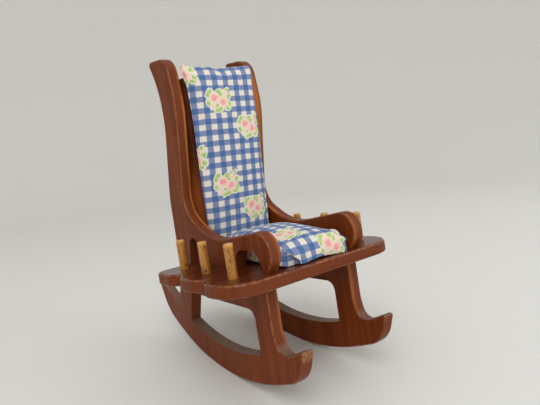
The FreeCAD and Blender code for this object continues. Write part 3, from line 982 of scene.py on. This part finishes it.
@dataclass
class Pad:
    """A stuffed pad: a flat base, drawn-in sides and a crowned top, puffed up by a cloth simulation.

    It is made lying on its base, in mm: X across, Y from foot to head, Z out from the base.
    """

    name: str
    width: float
    foot: float
    head: float
    side: float
    crown: float
    stands_for: tuple[str, ...]
    place: Matrix
    cell: float = 2.6
    fewest_cells: int = 3
    clearance: float = 0.06
    draw_in: float = 1.0
    square_across: float = 2.4
    square_along: float = 3.0
    pressure: float = 4.0
    cloth_quality: int = 6
    cloth_steps: int = 20
    most_swell: float = 2.5
    lump: float = 0.5
    lump_mm: float = 17.0
    fill: float = 0.75
    print_across: float = 0.0
    print_up: float = 0.0
    print_lean: float = 0.0

    def build(self, material: bpy.types.Material) -> bpy.types.Object:
        """Make the pad and put it on the chair.

        Args:
            material: The cover's cloth.

        Returns:
            The pad's object.
        """
        piece = self.lattice()
        piece.data.materials.append(material)
        self.puff(piece)
        self.refine(piece)
        self.shape(piece)
        piece.data.transform(self.place @ Matrix.Diagonal((MM, MM, MM, 1.0)))
        piece.data.shade_smooth()
        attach(piece, BODY)
        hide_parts(*self.stands_for)
        LOG.info("built %s with %d faces", piece.name, len(piece.data.polygons))
        return piece

    def form(self, share: np.ndarray) -> np.ndarray:
        """Give the pad's shape before it is puffed up.

        Args:
            share: Lattice places, each from 0 to 1, across, along and up.

        Returns:
            Points in mm.
        """
        across, along, up = share[:, 0] * 2 - 1, share[:, 1], share[:, 2]
        half = self.width / 2 - self.draw_in * np.sin(np.pi * along)
        bulge = 1 - np.abs(across) ** self.square_across
        bulge *= 1 - np.abs(2 * along - 1) ** self.square_along
        height = self.side + self.crown * np.sqrt(np.maximum(bulge, 0.0))
        ends = self.draw_in * np.cos(np.pi * across / 2)
        low, high = self.foot + ends, self.head - ends
        return np.stack([across * half, low + along * (high - low), self.clearance + up * height], axis=1)

    def lattice(self) -> bpy.types.Object:
        """Make the pad's closed surface on a box lattice, with the cloth's print laid out on it.

        Returns:
            The pad's object, in mm.
        """
        sizes = (self.width, self.head - self.foot, self.side + self.crown / 2)
        counts = [max(self.fewest_cells, round(size / self.cell)) for size in sizes]
        numbers: dict[tuple[int, int, int], int] = {}
        faces: list[list[int]] = []
        prints: list[tuple[float, float]] = []
        for wall in Wall:
            axis, end = wall.value
            first, second = [other for other in range(3) if other != axis]
            for i in range(counts[first]):
                for j in range(counts[second]):
                    ring = [(i, j), (i + 1, j), (i + 1, j + 1), (i, j + 1)]
                    if (end == 0) != (axis == 1):
                        ring.reverse()
                    face = []
                    for a, b in ring:
                        key = [0, 0, 0]
                        key[axis], key[first], key[second] = end * counts[axis], a, b
                        face.append(numbers.setdefault(tuple(key), len(numbers)))
                        prints.append(self.print_place(wall, [k / n for k, n in zip(key, counts)]))
                    faces.append(face)
        share = np.array(list(numbers), float) / np.array(counts, float)
        mesh = self.printed_mesh(self.form(share).tolist(), faces, prints)
        self.crease(mesh, share)
        piece = bpy.data.objects.new(self.name, mesh)
        bpy.context.scene.collection.objects.link(piece)
        held = piece.vertex_groups.new(name="base")
        held.add([number for key, number in numbers.items() if key[2] == 0], 1.0, "REPLACE")
        return piece

    def printed_mesh(self, points: list[Any], faces: list[list[int]], prints: list[Any]) -> bpy.types.Mesh:
        """Make a mesh with the cloth's print laid out on it.

        Args:
            points: Its points.
            faces: The points of each face.
            prints: Place on the flat cloth of each corner of each face.

        Returns:
            The mesh.
        """
        mesh = bpy.data.meshes.new(self.name)
        mesh.from_pydata(points, [], faces)
        layer = mesh.uv_layers.new(name=CLOTH_MAP)
        layer.data.foreach_set("uv", np.array(prints, np.float32).ravel())
        return mesh

    def crease(self, mesh: bpy.types.Mesh, share: np.ndarray) -> None:
        """Mark the pad's sharper edges, of which a plain pad has none.

        Args:
            mesh: The pad's mesh, which a plain pad does not use.
            share: Lattice place of each point, which a plain pad does not use.
        """

    def print_place(self, wall: Wall, share: list[float]) -> Span:
        """Place on the flat cloth of a corner of the lattice, so that the print runs over the edges.

        Args:
            wall: Wall that the corner is seen on.
            share: Its lattice place, each from 0 to 1.

        Returns:
            Place across and up the cloth in mm.
        """
        down = (1 - share[2]) * self.side
        across = (share[0] - 0.5) * self.width
        up = self.foot + share[1] * (self.head - self.foot)
        if wall in (Wall.LEFT, Wall.RIGHT):
            across += math.copysign(down, across)
        elif wall is Wall.FOOT:
            up -= down
        elif wall is Wall.HEAD:
            up += down
        return across - self.print_across - self.print_lean * (up - self.print_up), up - self.print_up

    def puff(self, piece: bpy.types.Object) -> None:
        """Swell the pad by a short cloth simulation and keep the result.

        Args:
            piece: The pad, in mm.
        """
        rest = self.points(piece)
        piece.data.transform(Matrix.Scale(MM, 4))
        cloth = piece.modifiers.new("puff", "CLOTH")
        cloth.settings.quality = self.cloth_quality
        cloth.settings.use_pressure = True
        cloth.settings.uniform_pressure_force = self.pressure
        cloth.settings.effector_weights.gravity = 0.0
        cloth.settings.vertex_group_mass = "base"
        cloth.collision_settings.use_collision = False
        scene = bpy.context.scene
        for step in range(self.cloth_steps):
            scene.frame_set(step + 1)
        graph = bpy.context.evaluated_depsgraph_get()
        swollen = self.points(piece.evaluated_get(graph)) / MM
        piece.modifiers.remove(cloth)
        scene.frame_set(1)
        move = swollen - rest
        far = np.linalg.norm(move, axis=1, keepdims=True)
        capped = move * np.minimum(1.0, self.most_swell / np.maximum(far, 1e-9))
        LOG.info("%s swells by up to %.2f mm, mean %.2f", piece.name, float(far.max()), float(far.mean()))
        self.set_points(piece, rest + capped)

    def refine(self, piece: bpy.types.Object) -> None:
        """Subdivide the pad once.

        Args:
            piece: The pad.
        """
        finer = piece.modifiers.new("finer", "SUBSURF")
        finer.levels = 1
        finer.render_levels = 1
        graph = bpy.context.evaluated_depsgraph_get()
        mesh = bpy.data.meshes.new_from_object(piece.evaluated_get(graph))
        piece.modifiers.remove(finer)
        old = piece.data
        piece.data = mesh
        bpy.data.meshes.remove(old)
        mesh.name = self.name

    def shape(self, piece: bpy.types.Object) -> None:
        """Add the lumps of the stuffing.

        Args:
            piece: The pad, in mm.
        """
        points = self.points(piece)
        wave = np.array([noise.noise(Vector(point) / self.lump_mm) for point in points])
        points[:, 2] += self.lump * wave * smooth(self.side / 2, self.side + self.crown / 2, points[:, 2])
        self.set_points(piece, points)

    def points(self, piece: bpy.types.Object) -> np.ndarray:
        """Read a mesh's points.

        Args:
            piece: Object with a mesh.

        Returns:
            One row for each point.
        """
        flat = np.zeros(len(piece.data.vertices) * 3, np.float32)
        piece.data.vertices.foreach_get("co", flat)
        return flat.reshape(-1, 3).astype(float)

    def set_points(self, piece: bpy.types.Object, points: np.ndarray) -> None:
        """Write a mesh's points.

        Args:
            piece: Object with a mesh.
            points: One row for each point.
        """
        piece.data.vertices.foreach_set("co", points.astype(np.float32).ravel())
        piece.data.update()


@dataclass
class SeatPad(Pad):
    """The pincushion seat: a high crown, a wavy hem and a front corner folded like a parcel's.

    Reaches are measured from the foot, which is the front, and heights from the seat.
    """

    squareness: float = 2.6
    left_fullness: float = 2.6
    left_full_along: Span = (0.2, 0.8)
    rear_rise: float = 0.28
    rear_full: float = 0.7
    lift: float = 2.6
    lifted_left: float = 0.8
    lifted_rear: float = 0.9
    corner_crease: float = 0.9
    hem_crease: float = 0.8
    front_reach: Span = (1.0, 9.0)
    high: Span = (11.0, 15.0)
    corner_across: Span = (22.0, 34.0)
    corner_reach: float = 12.0
    corner_shift: Span = (-3.8, -2.4)
    corner_lean: Point = (0.8, -1.5, -0.4)
    lean_heights: Span = (6.5, 12.5)
    tuck: float = 1.1
    tuck_across: float = 28.5
    tuck_width: float = 2.4
    shoulder: float = 0.8
    shoulder_across: float = 23.0
    shoulder_width: float = 7.0
    shoulder_reach: Span = (4.0, 26.0)
    hem_height: float = 8.0
    hem_gap: float = 0.45
    hem_least: float = 0.1
    hem_closed: Span = (12.0, 28.0)
    hem_wave: float = 1.3
    hem_wave_across: float = 2.0
    hem_wave_width: float = 13.0
    # Size and length of each fray of the hem, and where it lies in the noise.
    frays: tuple[tuple[float, float, Span], ...] = ((0.5, 4.0, (0.3, 2.1)), (0.3, 1.7, (5.3, 0.4)))
    fold_top: Span = (-29.4, 14.6)
    fold_tip: Span = (-17.0, 3.8)
    fold_under: float = 1.8
    fold_under_width: float = 2.0
    fold_overlap: float = 1.5
    fold_print: Span = (3.4, 4.6)
    flap_front: float = -0.6
    flap_rise: float = 3.0
    flap_least_rise: float = 0.25
    flap_closes: float = 0.75
    flap_lying: float = 0.12
    flap_sunk: float = 0.3
    flap_gap: float = 0.2
    flap_thickness: float = 0.9
    flap_end: float = 7.0
    flap_rows: int = 14
    flap_columns: int = 22
    rim_steps: int = 5
    under_step: float = 1.4
    under_steps: int = 3
    probe_least: float = 3.4
    probe_from: float = -200.0

    def form(self, share: np.ndarray) -> np.ndarray:
        """Give the seat's shape: fuller to the rear, with its left and rear hems off the seat.

        Args:
            share: Lattice places, each from 0 to 1, across, along and up.

        Returns:
            Points in mm.
        """
        across, along, up = share[:, 0] * 2 - 1, share[:, 1], share[:, 2]
        half = self.width / 2 - self.draw_in * np.sin(np.pi * along)
        rise = np.sqrt(np.maximum(1 - np.abs(2 * along - 1) ** self.squareness, 0.0))
        rise = rise * (1 - self.rear_rise) + self.rear_rise * smooth(0.0, self.rear_full, along)
        square = smooth(0.0, 1.0, -across) * smooth(*self.left_full_along, along)
        square = self.squareness + self.left_fullness * square
        bulge = np.sqrt(np.maximum(1 - np.abs(across) ** square, 0.0)) * rise
        height = self.clearance + up * (self.side + self.crown * bulge)
        left, rear = smooth(self.lifted_left, 1.0, -across), smooth(self.lifted_rear, 1.0, 2 * along - 1)
        height += self.lift * np.maximum(left, rear) * (1 - up)
        return np.stack([across * half, self.foot + along * (self.head - self.foot), height], axis=1)

    def crease(self, mesh: bpy.types.Mesh, share: np.ndarray) -> None:
        """Keep the upright edge at the right front corner and the hem beside it sharp.

        Args:
            mesh: The pad's mesh.
            share: Lattice place of each point.
        """
        right, front, base = share[:, 0] == 1.0, share[:, 1] == 0.0, share[:, 2] == 0.0
        creases = mesh.attributes.new("crease_edge", "FLOAT", "EDGE")
        for edge in mesh.edges:
            ends = list(edge.vertices)
            if (right & front)[ends].all():
                creases.data[edge.index].value = self.corner_crease
            elif (base & (right | front))[ends].all():
                creases.data[edge.index].value = self.hem_crease

    def shape(self, piece: bpy.types.Object) -> None:
        """Add the lumps, the wavy hem, the tucked right corner and the folded left one.

        Args:
            piece: The pad, in mm.
        """
        super().shape(piece)
        points = self.points(piece)
        across, up = points[:, 0], points[:, 2]
        reach = points[:, 1] - self.foot
        front = 1 - smooth(*self.front_reach, reach)
        high = smooth(*self.high, up)
        hem = np.array([self.hem(x) for x in across]) * front * (1 - smooth(0.0, self.hem_height, up))
        folded = smooth(0.0, self.fold_under_width, (self.fold_edge(up) - across) * front)
        under = self.fold_under * folded * (1 - high)
        corner = smooth(*self.corner_across, across) * (1 - smooth(0.0, self.corner_reach, reach))
        lean = corner * smooth(*self.lean_heights, up)
        tuck = self.tuck * bell(across, self.tuck_across, self.tuck_width) * high * front
        shoulder = bell(across, self.shoulder_across, self.shoulder_width) * high
        shoulder *= self.shoulder * (1 - smooth(*self.shoulder_reach, reach))
        points[:, 2] += hem + shoulder - tuck + self.corner_lean[2] * lean
        points[:, 1] += under + self.corner_shift[1] * corner + self.corner_lean[1] * lean
        points[:, 0] += self.corner_shift[0] * corner + self.corner_lean[0] * lean
        self.set_points(piece, points)
        self.flap(piece)

    def hem(self, across: float) -> float:
        """Height of the front hem above the seat.

        Args:
            across: Place across the pad in mm.

        Returns:
            Height in mm.
        """
        gap = self.hem_gap + self.hem_wave * bell(across, self.hem_wave_across, self.hem_wave_width)
        gap += sum(size * noise.noise((across / length, *place)) for size, length, place in self.frays)
        return max(self.hem_least, float(gap * (1 - smooth(*self.hem_closed, across))))

    def fold_edge(self, up: Any) -> Any:
        """Place across the pad of the fold's slanting edge.

        Args:
            up: Height above the seat in mm, as a number or an array.

        Returns:
            Place in mm.
        """
        share = (up - self.fold_tip[1]) / (self.fold_top[1] - self.fold_tip[1])
        return self.fold_tip[0] + np.clip(share, 0.0, 1.0) * (self.fold_top[0] - self.fold_tip[0])

    def flap(self, piece: bpy.types.Object) -> None:
        """Lay the loose flap of the fold over the front and shift the print of what lies under it.

        Args:
            piece: The pad, in mm.
        """
        mesh = piece.data
        prints = mesh.uv_layers[CLOTH_MAP].data
        rings = [list(face.vertices) for face in mesh.polygons]
        surface = BVHTree.FromPolygons([point.co.copy() for point in mesh.vertices], rings)
        grid = [self.flap_row(mesh, surface, row / self.flap_rows) for row in range(self.flap_rows + 1)]
        for face in mesh.polygons:
            covered = face.center.x < self.fold_edge(face.center.z) + self.fold_overlap
            if face.normal.y < self.flap_front and covered:
                for loop in face.loop_indices:
                    prints[loop].uv = prints[loop].uv + Vector(self.fold_print)

        start, wide = len(mesh.vertices), len(grid[0])
        points = [tuple(point.co) for point in mesh.vertices]
        points += [place for row in grid for place, _ in row]
        sheet = [uv for row in grid for _, uv in row]
        uvs = [tuple(prints[loop].uv) for face in mesh.polygons for loop in face.loop_indices]
        for row in range(self.flap_rows):
            for step in range(wide - 1):
                low, high = row * wide + step, (row + 1) * wide + step
                ring = [low, low + 1, high + 1, high]
                rings.append([start + corner for corner in ring])
                pale = step < self.rim_steps + self.under_steps
                uvs.extend((0.0, 0.0) if pale else sheet[corner] for corner in ring)
        joined = self.printed_mesh(points, rings, uvs)
        joined.materials.append(mesh.materials[0])
        piece.data = joined
        bpy.data.meshes.remove(mesh)

    def flap_row(self, mesh: bpy.types.Mesh, surface: BVHTree, share: float) -> list[tuple[Point, Span]]:
        """Give one level row of the flap, from its rolled rim to where it lies on the front.

        Args:
            mesh: The pad's mesh without the flap.
            surface: The same mesh, ready for finding points on it.
            share: Height of the row, from 0 at the hem to 1 at the top of the fold.

        Returns:
            Each point with its place on the cloth.
        """
        row = []
        prints = mesh.uv_layers[CLOTH_MAP].data
        hem = self.hem(self.fold_tip[0]) + self.flap_gap
        edge = float(self.fold_edge(hem + share * (self.fold_top[1] - hem)))
        loose = self.flap_rise * float(1 - smooth(self.flap_closes, 1.0, share)) + self.flap_least_rise
        for step in range(-self.rim_steps - self.under_steps, self.flap_columns + 1):
            along = max(step, 0) / self.flap_columns
            tucked = max(-step - self.rim_steps, 0) * self.under_step
            across = edge + along * (self.flap_end - edge) + tucked
            low = self.hem(across) + self.flap_gap
            height = low + share * (self.fold_top[1] - low)
            lying = 1 - float(smooth(0.0, 1.0, along + tucked / (self.flap_end - edge)))
            rise = self.flap_lying + (loose - self.flap_lying) * lying
            if share == 1.0 or step == self.flap_columns:
                rise -= self.flap_sunk
            probe = max(height, self.probe_least)
            start = Vector((across, self.probe_from, probe))
            hit, _, index, _ = surface.ray_cast(start, Vector((0.0, 1.0, 0.0)))
            face = mesh.polygons[index]
            weights = poly_3d_calc([mesh.vertices[corner].co for corner in face.vertices], hit)
            shares = zip(weights, face.loop_indices)
            cloth = sum((weight * prints[loop].uv for weight, loop in shares), Vector((0.0, 0.0)))
            rolled = math.pi * min(max(-step, 0), self.rim_steps) / self.rim_steps
            radius = min(self.flap_thickness, rise) / 2
            depth = hit.y - rise + radius * (1 - math.cos(rolled))
            point = (across - radius * math.sin(rolled), depth, height)
            row.append((point, (cloth.x, cloth.y + height - probe)))
        return row


@dataclass
class BackPad(Pad):
    """The long pad on the back board, wider at its top, where its corners stand out."""

    flare: float = 1.6
    flare_along: Span = (0.05, 0.6)
    left_across: Span = (20.0, 35.0)
    right_across: Span = (18.0, 35.0)
    top_reach: Span = (20.0, 4.0)
    ear: float = 3.4
    ear_rise: float = 0.4
    ear_sink: float = 0.6
    right_ear: float = 1.4
    waist: float = 1.7
    waist_drop: float = 52.0
    waist_length: float = 38.0
    right_swell: float = 0.9
    left_roll: float = 2.2
    head_roll: float = 2.8
    head_reach: float = 13.0
    rolled_heights: Span = (1.0, 5.0)
    dips: Span = (-28.0, 0.0)
    dip: float = 1.5
    dip_width: float = 6.5

    def form(self, share: np.ndarray) -> np.ndarray:
        """Give the pad's shape, which widens towards its head.

        Args:
            share: Lattice places, each from 0 to 1, across, along and up.

        Returns:
            Points in mm.
        """
        points = super().form(share)
        points[:, 0] *= 1 + self.flare / (self.width / 2) * smooth(*self.flare_along, share[:, 1])
        return points

    def shape(self, piece: bpy.types.Object) -> None:
        """Add the lumps, the waist, the wavy top edge and the ears at its ends.

        Args:
            piece: The pad, in mm.
        """
        super().shape(piece)
        points = self.points(piece)
        across, along = points[:, 0].copy(), points[:, 1].copy()
        left, right = smooth(*self.left_across, -across), smooth(*self.right_across, across)
        top = smooth(self.head - self.top_reach[0], self.head - self.top_reach[1], along)
        drawn = bell(along, self.head - self.waist_drop, self.waist_length) * (1 - top)
        points[:, 0] += drawn * (self.waist * left + self.right_swell * right)
        points[:, 0] += top * (self.right_ear * right - self.ear * left)
        points[:, 1] += top * (self.ear_rise * self.ear * left + self.right_ear * right)
        for dip in self.dips:
            points[:, 1] -= self.dip * top * bell(across, dip, self.dip_width)
        lower = (self.ear_sink * self.ear * top + self.left_roll * drawn) * left
        lower += self.head_roll * smooth(self.head - self.head_reach, self.head, along) * (1 - left)
        points[:, 2] -= lower * smooth(*self.rolled_heights, points[:, 2])
        self.set_points(piece, points)


@dataclass(frozen=True)
class Studio:
    """A plain pale floor that sweeps up all round, with two soft lamps and an even sky."""

    flat_radius: float = 1.3
    sweep_radius: float = 0.9
    wall_height: float = 1.6
    rings: int = 14
    spokes: int = 96
    key_place: Point = (-0.75, -1.0, 1.25)
    key_size: float = 1.1
    key_watts: float = 10.5
    fill_place: Point = (1.1, -0.9, 0.8)
    fill_size: float = 1.2
    fill_watts: float = 5.0
    sky: float = 0.71
    sky_colour: str = "#ffffff"
    target: Point = (0.0, 0.0, 0.14)

    def build(self) -> None:
        """Make the floor, the lights and the sky."""
        self.floor()
        self.lamp("key", self.key_place, self.key_size, self.key_watts)
        self.lamp("fill", self.fill_place, self.fill_size, self.fill_watts)
        world = bpy.data.worlds.new("even_sky")
        bpy.context.scene.world = world
        world.use_nodes = True
        tree = world.node_tree
        tree.nodes.clear()
        sky = add_node(tree, "Background", {"Color": self.sky_colour, "Strength": self.sky})
        add_node(tree, "OutputWorld", (sky,))

    def floor(self) -> None:
        """Turn the floor's profile into a round sweep."""
        radii = [0.0, self.flat_radius / 2, self.flat_radius]
        heights = [0.0, 0.0, 0.0]
        for step in range(1, self.rings + 1):
            angle = math.pi / 2 * step / self.rings
            radii.append(self.flat_radius + self.sweep_radius * math.sin(angle))
            heights.append(self.sweep_radius * (1 - math.cos(angle)))
        radii.append(radii[-1])
        heights.append(heights[-1] + self.wall_height)
        points = []
        for radius, height in zip(radii, heights):
            for spoke in range(self.spokes):
                angle = math.tau * spoke / self.spokes
                points.append((radius * math.cos(angle), radius * math.sin(angle), height))
        faces = []
        for ring in range(len(radii) - 1):
            low, high = ring * self.spokes, (ring + 1) * self.spokes
            for spoke in range(self.spokes):
                after = (spoke + 1) % self.spokes
                faces.append((low + spoke, high + spoke, high + after, low + after))
        mesh = bpy.data.meshes.new("studio_floor")
        mesh.from_pydata(points, [], faces)
        mesh.shade_smooth()
        mesh.materials.append(StudioPaper().material())
        floor = bpy.data.objects.new("studio_floor", mesh)
        bpy.context.scene.collection.objects.link(floor)

    def lamp(self, name: str, place: Point, size: float, watts: float) -> None:
        """Add a soft square lamp aimed at the chair.

        Args:
            name: Name of the lamp.
            place: Where it hangs, in metres.
            size: Length of its edge in metres.
            watts: Its power.
        """
        light = bpy.data.lights.new(name, "AREA")
        light.size = size
        light.energy = watts
        lamp = bpy.data.objects.new(name, light)
        lamp.location = place
        aim = Vector(self.target) - Vector(place)
        lamp.rotation_euler = aim.to_track_quat("-Z", "Y").to_euler()
        bpy.context.scene.collection.objects.link(lamp)


@dataclass(frozen=True)
class Viewpoint:
    """Where the picture is taken from, in metres and degrees in the chair's own frame."""

    place: Point = (-0.236603, -0.345537, 0.074891)
    azimuth: float = -35.0454
    elevation: float = 3.5861
    roll: float = -8.7885
    lens: float = 29.998

    def camera(self, chair: ChairFrame) -> None:
        """Set up the camera.

        Args:
            chair: The chair's own frame.
        """
        turn, rise = math.radians(self.azimuth), math.radians(self.elevation)
        back = Vector((math.sin(turn) * math.cos(rise), -math.cos(turn) * math.cos(rise), math.sin(rise)))
        right = Vector((math.cos(turn), math.sin(turn), 0.0))
        level = Matrix((right, back.cross(right), back)).transposed()
        camera = bpy.data.objects.new("camera", bpy.data.cameras.new("camera"))
        camera.data.lens = self.lens
        rolled = level @ Matrix.Rotation(math.radians(self.roll), 3, "Z")
        camera.matrix_world = chair.matrix() @ Matrix.Translation(self.place) @ rolled.to_4x4()
        bpy.context.scene.collection.objects.link(camera)
        bpy.context.scene.camera = camera


@dataclass(frozen=True)
class PadPlaces:
    """Where the pads lie, in mm and degrees in the chair's own frame."""

    back_face: float = 54.99
    back_lean: float = 2.0
    seat_turn: float = -4.0
    seat_middle: float = -14.0

    def on_back(self, chair: ChairFrame) -> Matrix:
        """Place of a pad on the front of the back board.

        Args:
            chair: The chair's own frame.

        Returns:
            Matrix from the pad's own frame in metres.
        """
        stood = Matrix.Rotation(math.radians(90 + self.back_lean), 4, "X")
        return chair.matrix() @ Matrix.Translation((0.0, self.back_face * MM, 0.0)) @ stood

    def on_seat(self, chair: ChairFrame) -> Matrix:
        """Place of a pad that lies a little askew on the seat.

        Args:
            chair: The chair's own frame.

        Returns:
            Matrix from the pad's own frame in metres.
        """
        middle = Matrix.Translation((0.0, self.seat_middle * MM, 0.0))
        askew = Matrix.Rotation(math.radians(self.seat_turn), 4, "Z")
        return chair.matrix() @ middle @ askew @ middle.inverted()


def main() -> None:
    """Build the looks of the chair in order."""
    logging.basicConfig(level=logging.INFO, format="%(name)s: %(message)s")
    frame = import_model()
    bpy.context.scene.view_settings.view_transform = "Standard"
    chair = ChairFrame.from_record(frame["record"])
    Woodwork(chair, frame["nodes"]).dress()
    cloth = PosyGingham().material()
    places = PadPlaces()
    SeatPad(
        name="seat_cushion",
        width=69.0,
        foot=-66.0,
        head=38.5,
        side=13.0,
        crown=15.5,
        stands_for=("seat_pad_cover", "seat_pad_filling", "seat_pad_base"),
        place=places.on_seat(chair),
        print_across=3.0,
        print_up=-30.0,
    ).build(cloth)
    BackPad(
        name="back_cushion",
        width=71.0,
        foot=4.0,
        head=188.8,
        side=6.8,
        crown=7.0,
        stands_for=("back_pad_cover", "back_pad_filling", "back_pad_base"),
        place=places.on_back(chair),
        print_across=1.4,
        print_up=85.9,
        print_lean=0.058,
    ).build(cloth)
    Studio().build()
    Viewpoint().camera(chair)


if __name__ == "__main__":
    main()
